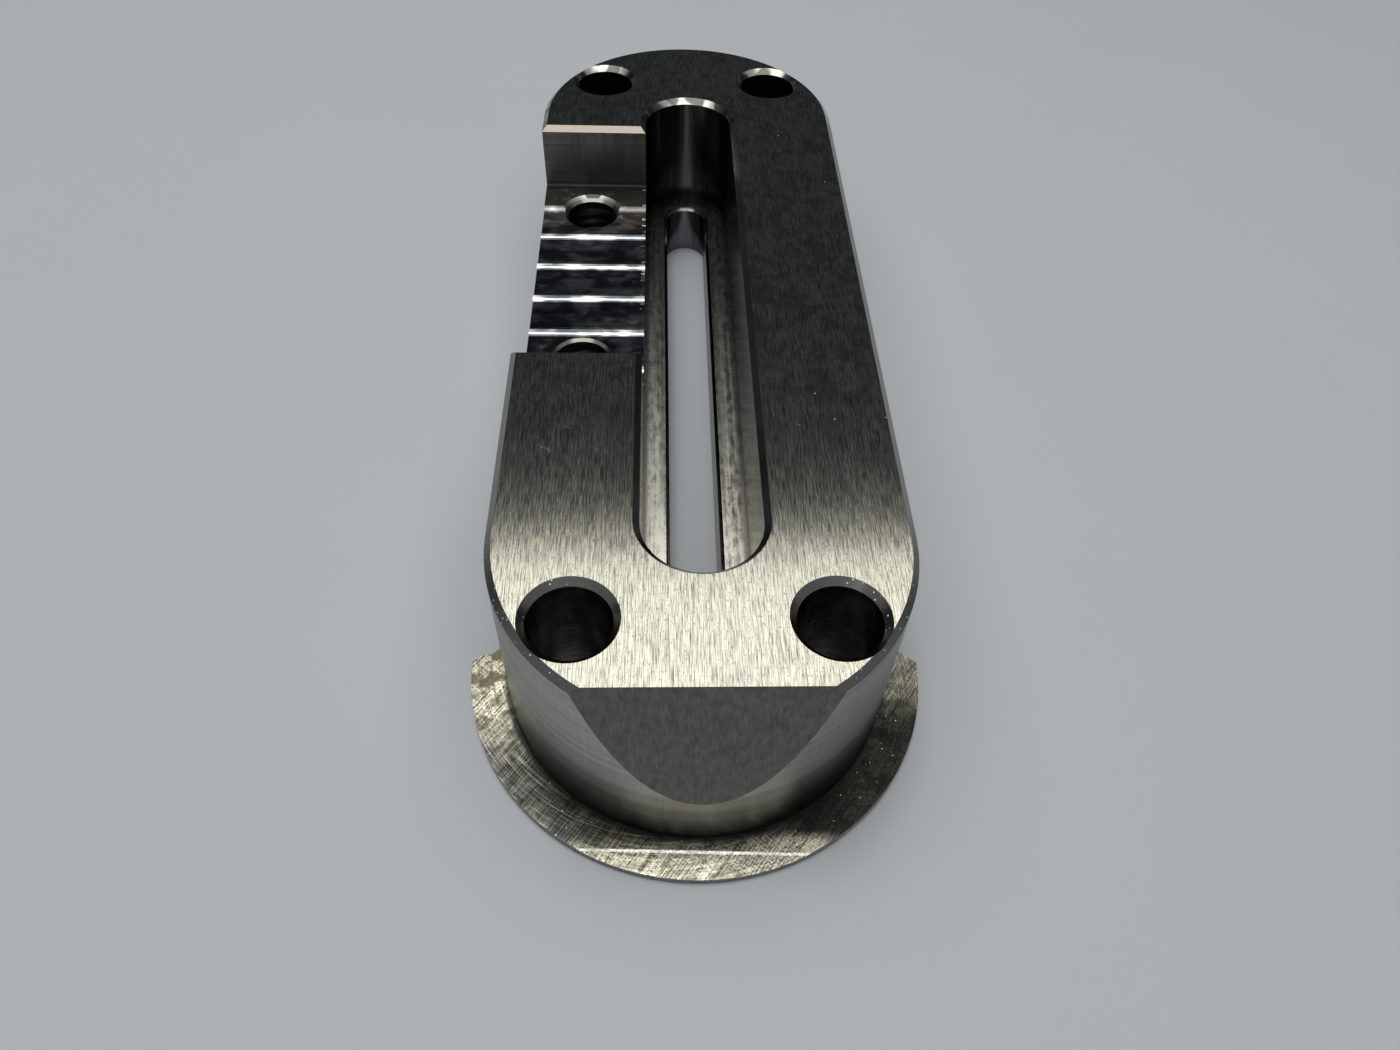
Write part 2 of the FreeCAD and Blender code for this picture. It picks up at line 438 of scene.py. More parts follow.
@dataclass(frozen=True)
class EdgeBreak:
    """Chamfers, patchy where the cutter dulled, nicked round the near end with painted glints on the
    nicks, and darkened by painted shade at the near end, along the slot sides and on the notch's far
    chamfer.
    """

    sizes: BlockSizes
    colour: Colour = (0.62, 0.60, 0.56)
    # Dark colour of the patches, also used as painted shade on the chamfers.
    darkened: Colour = (0.14, 0.135, 0.13)
    # Colour of the painted shade on the notch's far chamfer, darker and browner.
    notch_edge_shade: Colour = (0.30, 0.262, 0.240)
    glint: Colour = (0.92, 0.90, 0.86)
    roughness: float = 0.20
    depth: float = 0.006
    near_end_y: Span = (-26.0, -30.0)
    far_end_y: Span = (26.0, 28.0)
    nicked_x: Span = (8.6, 10.0)
    slot_side_edge: Span = (0.1, -0.1)
    notch_start: float = 0.3
    notch_end_y: Span = (27.0, 26.5)
    slot_edge_x: Span = (4.2, 4.5)
    beyond_slot_x: Span = (8.0, 7.0)
    straight_y: Span = (25.0, 23.0)

    def material(self) -> bpy.types.Material:
        """Makes the finish.

        Returns:
            The material.
        """
        g = Graph(Region.EDGE.value)
        place = g.millimetres()
        x, y, _ = g.parts(place)
        patches = g.grain(place, (1.6, 1.6, 5.0), 1.0, 3.0)
        near_end = y.ramp(*self.near_end_y)
        glints = g.specks(place, 0.33, 0.075, 0.40, 8.0) * near_end * x.size().ramp(*self.nicked_x)
        slot_side, wall_y = -self.sizes.slot_radius, self.sizes.notch_far_y
        beside_slot = x.ramp(slot_side + self.slot_side_edge[0], slot_side + self.slot_side_edge[1])
        in_notch = beside_slot * (y.ramp(wall_y - self.notch_start, wall_y) * y.ramp(*self.notch_end_y))
        side = x.size().ramp(*self.slot_edge_x) * y.size().ramp(*self.straight_y)
        side = side * x.size().ramp(*self.beyond_slot_x)
        far_end = y.ramp(*self.far_end_y)
        bright = patches.ramp(0.44, 0.60) * far_end + (1.0 - far_end) * 0.35
        colour = g.blend(bright, self.darkened, self.colour)
        # Painted shade: the chamfers of the near end and along the slot sides are darkened.
        colour = g.blend((near_end * 0.6 + side * 0.8).at_most(1.0), colour, self.darkened)
        # Painted shade: the notch's far chamfer is darker and browner.
        colour = g.blend(in_notch, colour, self.notch_edge_shade)
        # Painted highlight: bright glints on the nicks, which also stand in relief.
        colour = g.blend(glints, colour, self.glint)
        normal = g.relief(patches * 0.2 + glints * 3.0, self.depth)
        return g.surface(colour, self.roughness + patches * 0.06, normal)


@dataclass(frozen=True)
class OuterWall:
    """Outer walls, finished by the side of an end mill that left fine lines round the block, with painted
    shade on the right of the near end and towards the foot, strongest at the near end.
    """

    colour: Colour = (0.60, 0.595, 0.565)
    dark: Colour = (0.34, 0.335, 0.315)
    # Colour of the painted shade.
    painted_shade: Colour = (0.034, 0.034, 0.033)
    seam: Colour = (0.70, 0.69, 0.66)
    roughness: float = 0.27
    glance: float = 0.6
    depth: float = 0.007
    shaded_right_x: Span = (-2.0, 12.0)
    shaded_right_y: Span = (-24.0, -30.0)
    foot_shade_z: Span = (9.0, 1.2)
    foot_shade_y: Span = (-20.0, -30.0)

    def material(self) -> bpy.types.Material:
        """Makes the finish.

        Returns:
            The material.
        """
        g = Graph(Region.OUTER_WALL.value)
        place = g.millimetres()
        x, y, z = g.parts(place)
        lines = g.grain(place, (25.0, 25.0, 0.085), 3.0, 1.0)
        bands = g.grain(place, (60.0, 60.0, 0.9), 1.0, 4.0)
        flutes = g.grain(place, (0.16, 0.16, 24.0), 2.0, 7.0)
        seams = g.grain(place, (90.0, 90.0, 0.07), 0.0, 12.0).ramp(0.72, 0.80)
        tone = (lines * 0.5 + bands * 0.35 + flutes * 0.15).ramp(0.30, 0.66)
        colour = g.blend(tone, self.dark, self.colour)
        # Painted shade: the right side of the near end is darker.
        colour = g.blend(x.ramp(*self.shaded_right_x) * y.ramp(*self.shaded_right_y) * 0.25, colour, self.painted_shade)
        # Painted shade: darker towards the foot of the wall, most at the near end.
        colour = g.blend(z.ramp(*self.foot_shade_z) * (y.ramp(*self.foot_shade_y) * 0.64 + 0.30), colour, self.painted_shade)
        colour = g.blend(seams * 0.35, colour, self.seam)
        normal = g.relief(lines * 0.6 + flutes * 0.1 + seams * 0.4, self.depth)
        return g.surface(colour, self.roughness + lines * 0.10, normal, glance=self.glance)


@dataclass(frozen=True)
class InclinedFlat:
    """Inclined flat at the end, with fine upright grain."""

    colour: Colour = (0.205, 0.198, 0.180)
    groove: Colour = (0.105, 0.102, 0.093)
    pit: Colour = (0.42, 0.41, 0.38)
    roughness: float = 0.30
    depth: float = 0.005

    def material(self) -> bpy.types.Material:
        """Makes the finish.

        Returns:
            The material.
        """
        g = Graph(Region.FLAT.value)
        place = g.millimetres()
        lines = g.grain(place, (0.07, 0.9, 0.9), 3.0, 2.0)
        patches = g.grain(place, (0.5, 0.8, 0.8), 3.0, 6.0)
        pits = g.specks(place, 0.45, 0.05, 0.3, 6.0)
        colour = g.blend((lines * 0.55 + patches * 0.45).ramp(0.28, 0.72), self.groove, self.colour)
        colour = g.blend(pits * 0.3, colour, self.pit)
        return g.surface(colour, self.roughness + lines * 0.12, g.relief(lines, self.depth))


@dataclass(frozen=True)
class SlotWall:
    """Walls of the slots, cut by the side of the end mill, with painted light on their near part and
    painted shade in the corner over the ledge.
    """

    sizes: BlockSizes
    colour: Colour = (0.26, 0.262, 0.27)
    dark: Colour = (0.10, 0.102, 0.108)
    # Colour of the painted light on the near part of the walls.
    painted_light: Colour = (0.52, 0.51, 0.45)
    # Colour of the painted shade in the corner over the ledge.
    corner: Colour = (0.030, 0.030, 0.028)
    roughness: float = 0.17
    glance: float = 0.6
    depth: float = 0.006
    lit_y: Span = (0.0, -18.0)
    corner_rise: Span = (2.0, 0.6)
    under_ledge: float = 0.1

    def material(self) -> bpy.types.Material:
        """Makes the finish.

        Returns:
            The material.
        """
        g = Graph(Region.SLOT_WALL.value)
        place = g.millimetres()
        _, y, z = g.parts(place)
        lines = g.grain(place, (30.0, 30.0, 0.08), 2.0, 3.0)
        flutes = g.grain(place, (0.35, 0.35, 20.0), 2.0, 8.0)
        blotches = g.grain(place, (2.0, 1.6, 1.8), 3.0, 12.0).ramp(0.34, 0.58)
        tone = (lines * 0.4 + flutes * 0.6).ramp(0.3, 0.7)
        colour = g.blend(tone, self.dark, self.colour)
        # Painted light: the near part of the walls is lighter, broken by blotches.
        colour = g.blend(y.ramp(*self.lit_y) * (0.4 + blotches * 0.6), colour, self.painted_light)
        ledge = self.sizes.ledge_z
        # Painted shade: dark in the corner just over the ledge.
        painted_shade = z.ramp(ledge + self.corner_rise[0], ledge + self.corner_rise[1])
        colour = g.blend(painted_shade * z.over(ledge - self.under_ledge) * 0.9, colour, self.corner)
        normal = g.relief(lines * 0.4 + flutes * 0.6, self.depth)
        return g.surface(colour, self.roughness + lines * 0.08, normal, glance=self.glance)


@dataclass(frozen=True)
class SlotLedge:
    """Ledge inside the slot, streaked along the cut, spotted with coolant at the near end and darker in a
    streak by the opening; it is brighter at the near end as painted shade darkens it towards the far end,
    and painted shade runs along its corner with the wall.
    """

    colour: Colour = (0.86, 0.85, 0.79)
    dark: Colour = (0.20, 0.195, 0.17)
    # Colour of the painted shade towards the far end and in the corner with the wall.
    deep: Colour = (0.10, 0.10, 0.095)
    spot: Colour = (0.13, 0.12, 0.10)
    roughness: float = 0.20
    depth: float = 0.012
    corner_shade_at: float = 4.35
    dark_streak_at: float = 2.55
    spotted_y: Span = (-9.0, -14.0)
    dark_streak_y: Span = (-19.0, -12.0)
    dim_y: Span = (-16.0, 22.0)

    def material(self) -> bpy.types.Material:
        """Makes the finish.

        Returns:
            The material.
        """
        g = Graph(Region.LEDGE.value)
        place = g.millimetres()
        x, y, _ = g.parts(place)
        across = x.size()
        streaks = g.grain(place, (0.22, 14.0, 1.0), 1.0, 4.0)
        blotches = g.grain(place, (0.5, 1.3, 1.0), 2.0, 9.0)
        spots = g.specks(place, 0.95, 0.20, 0.35, 5.0) * y.ramp(*self.spotted_y)
        # Painted shade along the ledge's corner with the wall, broken by blotches.
        corner_shade = (across - self.corner_shade_at).size().ramp(0.50, 0.15) * (blotches * 0.8 + 0.4).at_most(1.0)
        # A darker streak by the opening, stronger away from the near end.
        darkened = (across - self.dark_streak_at).size().ramp(0.55, 0.10) * y.ramp(*self.dark_streak_y)
        colour = g.blend((streaks * 0.6 + blotches * 0.4).ramp(0.30, 0.58), self.dark, self.colour)
        colour = g.blend(darkened * 0.6, colour, self.dark)
        colour = g.blend(corner_shade * 0.8, colour, self.deep)
        # Painted shade: darker towards the far end.
        colour = g.blend(y.ramp(*self.dim_y) * 0.85, colour, self.deep)
        colour = g.blend(spots * 0.7, colour, self.spot)
        normal = g.relief(streaks * 0.4 + blotches * 0.6, self.depth)
        return g.surface(colour, self.roughness + blotches * 0.14, normal)


@dataclass(frozen=True)
class NotchFloor:
    """Notch floor, cut in passes across the rail and left almost polished, duller under the last pass,
    with raised burrs by the slot that are painted bright as a highlight.
    """

    colour: Colour = (0.46, 0.47, 0.49)
    dark: Colour = (0.075, 0.082, 0.09)
    cloud: Colour = (0.55, 0.55, 0.56)
    # Bright colour of the burrs, a painted highlight.
    burr_glint: Colour = (0.88, 0.87, 0.84)
    last_pass: Colour = (0.085, 0.082, 0.075)
    roughness: float = 0.11
    depth: float = 0.004
    sweep_slant: float = 6.0
    last_pass_y: float = 18.6
    last_pass_edge: float = 0.8
    burr_x: float = -4.85
    burr_edge: float = 0.12
    burr_depth: float = 0.10

    def material(self) -> bpy.types.Material:
        """Makes the finish.

        Returns:
            The material.
        """
        g = Graph(Region.NOTCH_FLOOR.value)
        place = g.millimetres()
        x, y, _ = g.parts(place)
        lines = g.grain(place, (6.0, 0.07, 6.0), 2.0, 1.0)
        sweeps = g.grain(g.millimetres(self.sweep_slant), (2.8, 2.2, 3.0), 1.0, 33.0)
        clouds = g.grain(place, (1.2, 0.9, 2.0), 2.0, 6.0).ramp(0.50, 0.78)
        last = y.ramp(self.last_pass_y - self.last_pass_edge, self.last_pass_y + self.last_pass_edge)
        breaks = g.grain(place, (2.3, 1.4, 3.0), 1.0, 24.0).ramp(0.40, 0.58)
        torn = g.grain(place, (3.0, 0.6, 3.0), 1.0, 9.0).ramp(0.58, 0.62)
        burrs = x.ramp(self.burr_x, self.burr_x + self.burr_edge) * torn
        tone = (lines * 0.15 + sweeps * 0.85).ramp(0.36, 0.60) * (breaks * 0.9 + 0.1)
        colour = g.blend(tone, self.dark, self.colour)
        colour = g.blend(clouds * 0.2, colour, self.cloud)
        colour = g.blend(last * (0.9 - clouds * 0.5), colour, self.last_pass)
        # Burrs: raised in relief and painted bright as a highlight.
        colour = g.blend(burrs, colour, self.burr_glint)
        roughness = self.roughness + clouds * 0.10 + lines * 0.04 + last * 0.22
        normal = g.relief(lines * 0.5 + sweeps * 0.5, self.depth)
        return g.surface(colour, roughness, g.relief(burrs, self.burr_depth, normal))


@dataclass(frozen=True)
class NotchWall:
    """Walls across the rail at the two ends of the notch, darkened by painted shade towards the floor and
    in their lower part towards the slot.
    """

    sizes: BlockSizes
    colour: Colour = (0.21, 0.198, 0.178)
    dark: Colour = (0.11, 0.105, 0.095)
    # Colour of the painted shade at the floor.
    painted_shade: Colour = (0.025, 0.024, 0.022)
    roughness: float = 0.32
    glance: float = 0.5
    depth: float = 0.005
    shade_x: Span = (-13.0, -7.5)
    shade_z: Span = (15.5, 12.0)
    corner_rise: Span = (1.0, 0.25)

    def material(self) -> bpy.types.Material:
        """Makes the finish.

        Returns:
            The material.
        """
        g = Graph(Region.NOTCH_WALL.value)
        place = g.millimetres()
        x, _, z = g.parts(place)
        lines = g.grain(place, (20.0, 9.0, 0.10), 2.0, 1.0)
        flutes = g.grain(place, (0.9, 9.0, 12.0), 2.0, 5.0)
        colour = g.blend((flutes * 0.5 + lines * 0.5).ramp(0.3, 0.7), self.dark, self.colour)
        colour = g.blend(x.ramp(*self.shade_x) * z.ramp(*self.shade_z) * 0.6, colour, self.dark)
        floor = self.sizes.notch_floor_z
        corner = z.ramp(floor + self.corner_rise[0], floor + self.corner_rise[1])
        # Painted shade in the corner at the floor.
        colour = g.blend(corner * 0.95, colour, self.painted_shade)
        roughness = self.roughness + lines * 0.08 + corner * 0.2
        normal = g.relief(lines * 0.7 + flutes * 0.3, self.depth)
        return g.surface(colour, roughness, normal, glance=self.glance)


@dataclass(frozen=True)
class DrilledBore:
    """Wall of a drilled hole, ringed by the drill."""

    colour: Colour = (0.42, 0.405, 0.375)
    dark: Colour = (0.13, 0.128, 0.125)
    roughness: float = 0.13
    depth: float = 0.010

    def material(self) -> bpy.types.Material:
        """Makes the finish.

        Returns:
            The material.
        """
        g = Graph(Region.BORE.value)
        place = g.millimetres()
        rings = g.grain(place, (12.0, 12.0, 0.10), 2.0, 3.0)
        stains = g.grain(place, (1.2, 1.2, 2.4), 2.0, 8.0)
        colour = g.blend((stains * 0.6 + rings * 0.4).ramp(0.35, 0.66), self.dark, self.colour)
        return g.surface(colour, self.roughness + rings * 0.08, g.relief(rings, self.depth))


@dataclass(frozen=True)
class TappedBore:
    """Thread inside the holes of the notch floor, with painted shade in its roots and the crest colour at
    the lead-in.
    """

    sizes: BlockSizes
    pitch: float = 1.0
    crest: Colour = (0.22, 0.22, 0.225)
    # Colour of the painted shade in the thread's roots.
    root: Colour = (0.06, 0.06, 0.065)
    roughness: float = 0.26
    depth: float = 0.10
    lead_in_drop: Span = (1.3, 0.7)

    def material(self) -> bpy.types.Material:
        """Makes the finish.

        Returns:
            The material.
        """
        g = Graph(Region.TAPPED.value)
        place = g.millimetres()
        x, y, z = g.parts(place)
        near_y, far_y, floor = self.sizes.tapped_near_y, self.sizes.tapped_far_y, self.sizes.notch_floor_z
        along = y - near_y - y.over(0.5 * (near_y + far_y)) * (far_y - near_y)
        turn = along.angle_to(x - self.sizes.tapped_x) * (1.0 / (2 * math.pi))
        thread = ((z * (1.0 / self.pitch) + turn).saw() - 0.5).size() * 2.0
        lead_in = z.ramp(floor - self.lead_in_drop[0], floor - self.lead_in_drop[1])
        # Painted shade: the roots of the thread are darker than its crests; the lead-in takes the crest
        # colour.
        colour = g.blend((thread + lead_in).at_most(1.0), self.root, self.crest)
        return g.surface(colour, self.roughness, g.relief(thread * (1.0 - lead_in), self.depth))


@dataclass(frozen=True)
class WebTop:
    """Thin web left at the foot, faced in crossing passes, stained and scratched.

    The outermost pass, which dips a little, the left end, the right tip, a sheen at the front and a flare
    at the front right are painted as lit, standing in for the lamps' reflection, and the rest is painted
    as unlit and dark, darkest olive on the right. The riser of the dipped pass has a painted highlight,
    the corner by the wall painted shade, and small specks painted glints. The spans named reach are shares
    of the web's radius, measured from the axis of the round end towards its front.
    """

    sizes: BlockSizes
    # Colour where the web is painted as lit, standing in for the lamps' reflection, and of the scratches.
    bright: Colour = (0.66, 0.64, 0.54)
    groove: Colour = (0.050, 0.048, 0.030)
    # Colours where the web is painted as unlit, a painted shade.
    unlit_grey: Colour = (0.095, 0.095, 0.085)
    black: Colour = (0.022, 0.024, 0.022)
    # Colour of the painted shade on the right side.
    olive: Colour = (0.013, 0.014, 0.012)
    stain: Colour = (0.105, 0.090, 0.055)
    glint: Colour = (0.92, 0.90, 0.85)
    roughness: float = 0.24
    glance: float = 0.7
    depth: float = 0.010
    one_slant: float = 36.0
    other_slant: float = -50.0
    dip_low: float = 0.65
    dip_high: float = 0.80
    dip_x: Span = (10.0, 6.0)
    left_x: Span = (-8.0, -10.0)
    left_reach: Span = (0.52, 0.20)
    shaded_right_x: Span = (5.0, 8.0)
    tip_x: Span = (8.0, 11.0)
    tip_reach: Span = (0.34, 0.08)
    sheen_reach: Span = (0.81, 0.88)
    flare_from_x: Span = (2.0, 5.0)
    flare_to_x: Span = (10.0, 7.5)
    flare_reach: Span = (0.80, 0.86)
    riser_low: Span = (0.01, 0.05)
    riser_high: float = 0.04
    junction_shade: Span = (0.55, 0.15)

    def material(self) -> bpy.types.Material:
        """Makes the finish.

        Returns:
            The material.
        """
        g = Graph(Region.WEB.value)
        place = g.millimetres()
        x, y, z = g.parts(place)
        from_axis = y + self.sizes.end_axis_y
        along = from_axis * (-1.0 / self.sizes.web_radius)
        waver = g.grain(place, (1.2, 1.2, 1.0), 3.0, 17.0) * 0.3 - 0.15
        # Painted light: the left end, the right tip, the dipped pass, a sheen and a flare are painted as
        # lit.
        left = x.ramp(*self.left_x) * (along + waver * 0.5).ramp(*self.left_reach)
        tip = x.ramp(*self.tip_x) * (along + waver * 0.5).ramp(*self.tip_reach)
        # Painted shade: the right side is darker.
        right = x.ramp(*self.shaded_right_x) * (1.0 - tip)
        dipped = z.ramp(self.dip_high, self.dip_low) * (x + waver * 12.0).ramp(*self.dip_x)
        sheen = along.ramp(*self.sheen_reach) * 0.45
        flare = x.ramp(*self.flare_from_x) * x.ramp(*self.flare_to_x)
        flare = flare * (along + waver * 0.1).ramp(*self.flare_reach)
        riser = z.ramp(self.dip_low + self.riser_low[0], self.dip_low + self.riser_low[1])
        riser = riser * z.ramp(self.dip_high, self.dip_high - self.riser_high)
        radius = g.length(x, from_axis)
        sweep = from_axis.angle_to(x) * self.sizes.web_radius
        swirl = g.grain(g.join(radius + sweep * 0.12, sweep, 0.0), (0.085, 5.0, 1.0), 2.0, 5.0)
        one_way = g.grain(g.millimetres(self.one_slant), (0.07, 3.5, 1.0), 2.0, 2.0)
        other_way = g.grain(g.millimetres(self.other_slant), (0.08, 3.0, 1.0), 2.0, 6.0)
        hatch = (one_way * 0.5 + other_way * 0.2 + swirl * 0.3).ramp(0.42, 0.60)
        scores = swirl.ramp(0.60, 0.70) + one_way.ramp(0.70, 0.78) * 0.5
        stains = g.grain(place, (1.6, 1.3, 1.0), 4.0, 11.0).ramp(0.46, 0.58)
        mottle = g.grain(place, (0.22, 0.18, 1.0), 3.0, 14.0).ramp(0.40, 0.62)
        sparkle = g.specks(place, 0.36, 0.055, 0.22, 3.0)
        lit = g.blend(hatch * 0.7 + mottle * 0.3, self.groove, self.bright)
        lit = g.blend(stains * (left * 0.75 + 0.1), lit, self.stain)
        unlit = g.blend(hatch, self.black, self.unlit_grey)
        unlit = g.blend(scores.at_most(1.0) * 0.3 * (1.0 - right * 0.7), unlit, self.bright)
        # Painted shade: the right side is darker olive.
        unlit = g.blend(right * (mottle * 0.2 + 0.75), unlit, self.olive)
        # Painted light: where the web is painted lit, standing in for the lamps' reflection.
        shine = left * 0.95 + dipped + sheen + flare * 0.9 + tip * 0.45
        colour = g.blend(shine.at_most(1.0), unlit, lit)
        # Painted highlight along the riser of the dipped pass.
        colour = g.blend(riser * (0.35 + mottle * 0.5), colour, self.glint)
        wall = self.sizes.end_radius
        # Painted shade in the corner where the web meets the wall.
        junction_shade = radius.ramp(wall + self.junction_shade[0], wall + self.junction_shade[1])
        colour = g.blend(junction_shade * 0.9, colour, self.black)
        # Painted glints on small specks, which also stand in relief.
        colour = g.blend(sparkle * 0.7, colour, self.glint)
        roughness = self.roughness + stains * 0.2 + mottle * 0.08
        normal = g.relief(one_way * 0.35 + other_way * 0.3 + swirl * 0.35 + sparkle * 0.4, self.depth)
        return g.surface(colour, roughness, normal, glance=self.glance)


@dataclass(frozen=True)
class WebRim:
    """Broken rim of the web."""

    colour: Colour = (0.34, 0.33, 0.31)
    dark: Colour = (0.16, 0.155, 0.145)
    roughness: float = 0.38
    depth: float = 0.03

    def material(self) -> bpy.types.Material:
        """Makes the finish.

        Returns:
            The material.
        """
        g = Graph(Region.WEB_RIM.value)
        place = g.millimetres()
        tears = g.grain(place, (0.16, 0.16, 0.5), 3.0, 2.0)
        colour = g.blend(tears.ramp(0.3, 0.7), self.dark, self.colour)
        return g.surface(colour, self.roughness, g.relief(tears, self.depth))


@dataclass(frozen=True)
class Underside:
    """Underside, faced in arcs by a wide cutter."""

    colour: Colour = (0.56, 0.555, 0.53)
    dark: Colour = (0.40, 0.395, 0.38)
    roughness: float = 0.26
    depth: float = 0.006
    arc_radius: float = 26.0
    step: float = 0.5

    def material(self) -> bpy.types.Material:
        """Makes the finish.

        Returns:
            The material.
        """
        g = Graph(Region.UNDERSIDE.value)
        place = g.millimetres()
        x, y, _ = g.parts(place)
        arc = y + (x * x) * (0.5 / self.arc_radius)
        arcs = (arc * (2 * math.pi / self.step)).sine() * 0.5 + 0.5
        wear = g.grain(place, (4.0, 6.0, 1.0), 3.0, 2.0)
        colour = g.blend(wear * 0.6 + arcs * 0.4, self.dark, self.colour)
        return g.surface(colour, self.roughness + wear * 0.12, g.relief(arcs, self.depth))


# ---------------------------------------------------------------------------------------------
# Block
# ---------------------------------------------------------------------------------------------

@dataclass
class SlottedBlock:
    """The block itself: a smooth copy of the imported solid, dressed face by face.

    Faces are told apart by their place and by how much of their direction lies along an axis: all of it
    (exact), most of it (facing), half (leaning), little (upright) or less (beside). The distance under
    which vertices are merged is in metres.
    """

    sizes: BlockSizes = field(default_factory=BlockSizes)
    smooth_angle: float = 24.0
    normal_weight: int = 90
    reach: float = 0.06
    merge: float = 1e-7
    exact: float = 0.99
    facing: float = 0.9
    leaning: float = 0.5
    upright: float = 0.3
    beside: float = 0.2
    flat_reach: float = 0.02
    level_reach: float = 0.01

    def build(self) -> bpy.types.Object:
        """Copies the solid, merges its triangles and smooths its round walls.

        Returns:
            The block.
        """
        deselect_all()
        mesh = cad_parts[NODE].data.copy()
        mesh.materials.clear()
        block = bpy.data.objects.new(NODE + "_machined", mesh)
        bpy.context.scene.collection.objects.link(block)
        make_active(block)
        if mesh.has_custom_normals:
            bpy.ops.mesh.customdata_custom_splitnormals_clear()
        bpy.ops.object.mode_set(mode="EDIT")
        bpy.ops.mesh.select_all(action="SELECT")
        bpy.ops.mesh.remove_doubles(threshold=self.merge)
        bpy.ops.mesh.normals_make_consistent(inside=False)
        bpy.ops.object.mode_set(mode="OBJECT")
        bpy.ops.object.shade_smooth_by_angle(angle=math.radians(self.smooth_angle))
        weighted = block.modifiers.new("weighted", "WEIGHTED_NORMAL")
        weighted.keep_sharp = True
        weighted.weight = self.normal_weight
        bpy.ops.object.modifier_apply(modifier=weighted.name)
        return block

    def region(self, centre: Vector, normal: Vector) -> Region:
        """Tells which tool left a face, by its place and direction.

        Args:
            centre: the face's middle, in millimetres.
            normal: its outward direction.

        Returns:
            The finish that the face takes.
        """
        s = self.sizes
        x, y, z = centre
        if normal.z < -self.facing:
            return Region.UNDERSIDE
        for hole_x, hole_y in s.tapped_centres():
            inward = Vector((hole_x - x, hole_y - y, 0.0))
            in_mouth = inward.length < s.tapped_mouth + self.reach and abs(normal.z) < self.facing
            if in_mouth and z < s.notch_floor_z + self.reach and normal.dot(inward) > 0:
                return Region.TAPPED if normal.z < self.upright else Region.EDGE
        for hole_x, hole_y in s.corner_centres():
            if math.hypot(x - hole_x, y - hole_y) < s.hole_radius + s.edge_break + self.reach:
                if abs(normal.z) < self.upright:
                    return Region.BORE
        if normal.z > self.exact:
            if z > s.height - self.reach:
                return Region.TOP
            if abs(z - s.ledge_z) < self.reach:
                return Region.LEDGE
            return Region.NOTCH_FLOOR if z > s.ledge_z else Region.WEB
        if z < s.web_z and normal.z > self.upright:
            return Region.WEB
        if z > s.height - s.edge_break - self.reach and normal.z > self.leaning:
            return Region.EDGE
        in_rail = s.notch_near_y - self.reach < y < s.notch_far_y + self.reach
        in_notch = in_rail and x < -s.slot_radius + self.reach
        if in_notch and z > s.notch_floor_z - self.reach and abs(normal.x) < self.beside:
            by_wall = y > s.notch_far_y - s.finish_radius - self.reach
            return Region.NOTCH_WALL if abs(normal.y) > self.exact or by_wall else Region.NOTCH_FLOOR
        beyond = max(0.0, abs(y) - s.slot_axis_y)
        if math.hypot(x, beyond) < s.slot_radius + self.reach:
            return Region.SLOT_WALL
        off_flat = abs(normal.z - math.sin(math.radians(s.flat_angle)))
        if off_flat < self.flat_reach and normal.y < -self.facing:
            return Region.FLAT
        outside = math.hypot(x, abs(y) - s.end_axis_y) > s.end_radius + self.reach
        if z < s.web_z + self.reach and outside:
            return Region.WEB_RIM
        return Region.OUTER_WALL

    def round_ends(self, block: bpy.types.Object) -> None:
        """Gives the outer wall of the two round ends the true direction of a cylinder.

        Args:
            block: the smooth copy.
        """
        mesh = block.data
        directions = [corner.vector.copy() for corner in mesh.corner_normals]
        for face in mesh.polygons:
            region = self.region(face.center / MM, face.normal)
            if abs(face.normal.z) > self.level_reach or region is not Region.OUTER_WALL:
                continue
            for corner in face.loop_indices:
                place = mesh.vertices[mesh.loops[corner].vertex_index].co / MM
                beyond = max(0.0, abs(place.y) - self.sizes.end_axis_y)
                outward = Vector((place.x, math.copysign(beyond, place.y), 0.0))
                if beyond > self.reach and abs(outward.length - self.sizes.end_radius) < self.reach:
                    directions[corner] = outward.normalized()
        mesh.normals_split_custom_set(directions)

    def finishes(self) -> dict[Region, bpy.types.Material]:
        """Makes every finish once.

        Returns:
            The material of each region.
        """
        makers = {
            Region.TOP: BrushedTop(),
            Region.EDGE: EdgeBreak(self.sizes),
            Region.OUTER_WALL: OuterWall(),
            Region.FLAT: InclinedFlat(),
            Region.SLOT_WALL: SlotWall(self.sizes),
            Region.LEDGE: SlotLedge(),
            Region.NOTCH_FLOOR: NotchFloor(),
            Region.NOTCH_WALL: NotchWall(self.sizes),
            Region.BORE: DrilledBore(),
            Region.TAPPED: TappedBore(self.sizes),
            Region.WEB: WebTop(self.sizes),
            Region.WEB_RIM: WebRim(),
            Region.UNDERSIDE: Underside(),
        }
        return {region: maker.material() for region, maker in makers.items()}

    def dress(self, block: bpy.types.Object) -> None:
        """Gives each face of the block its finish.

        Args:
            block: the smooth copy.
        """
        order = list(Region)
        made = self.finishes()
        for region in order:
            block.data.materials.append(made[region])
        counts = {region: 0 for region in order}
        for face in block.data.polygons:
            region = self.region(face.center / MM, face.normal)
            face.material_index = order.index(region)
            counts[region] += 1
        log.info("faces: %s", {region.value: count for region, count in counts.items()})

    def make(self) -> bpy.types.Object:
        """Returns:
            The block.
        """
        block = self.build()
        self.round_ends(block)
        self.dress(block)
        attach(block, "root")
        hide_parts(NODE)
        return block


# ---------------------------------------------------------------------------------------------
# Stage
# ---------------------------------------------------------------------------------------------

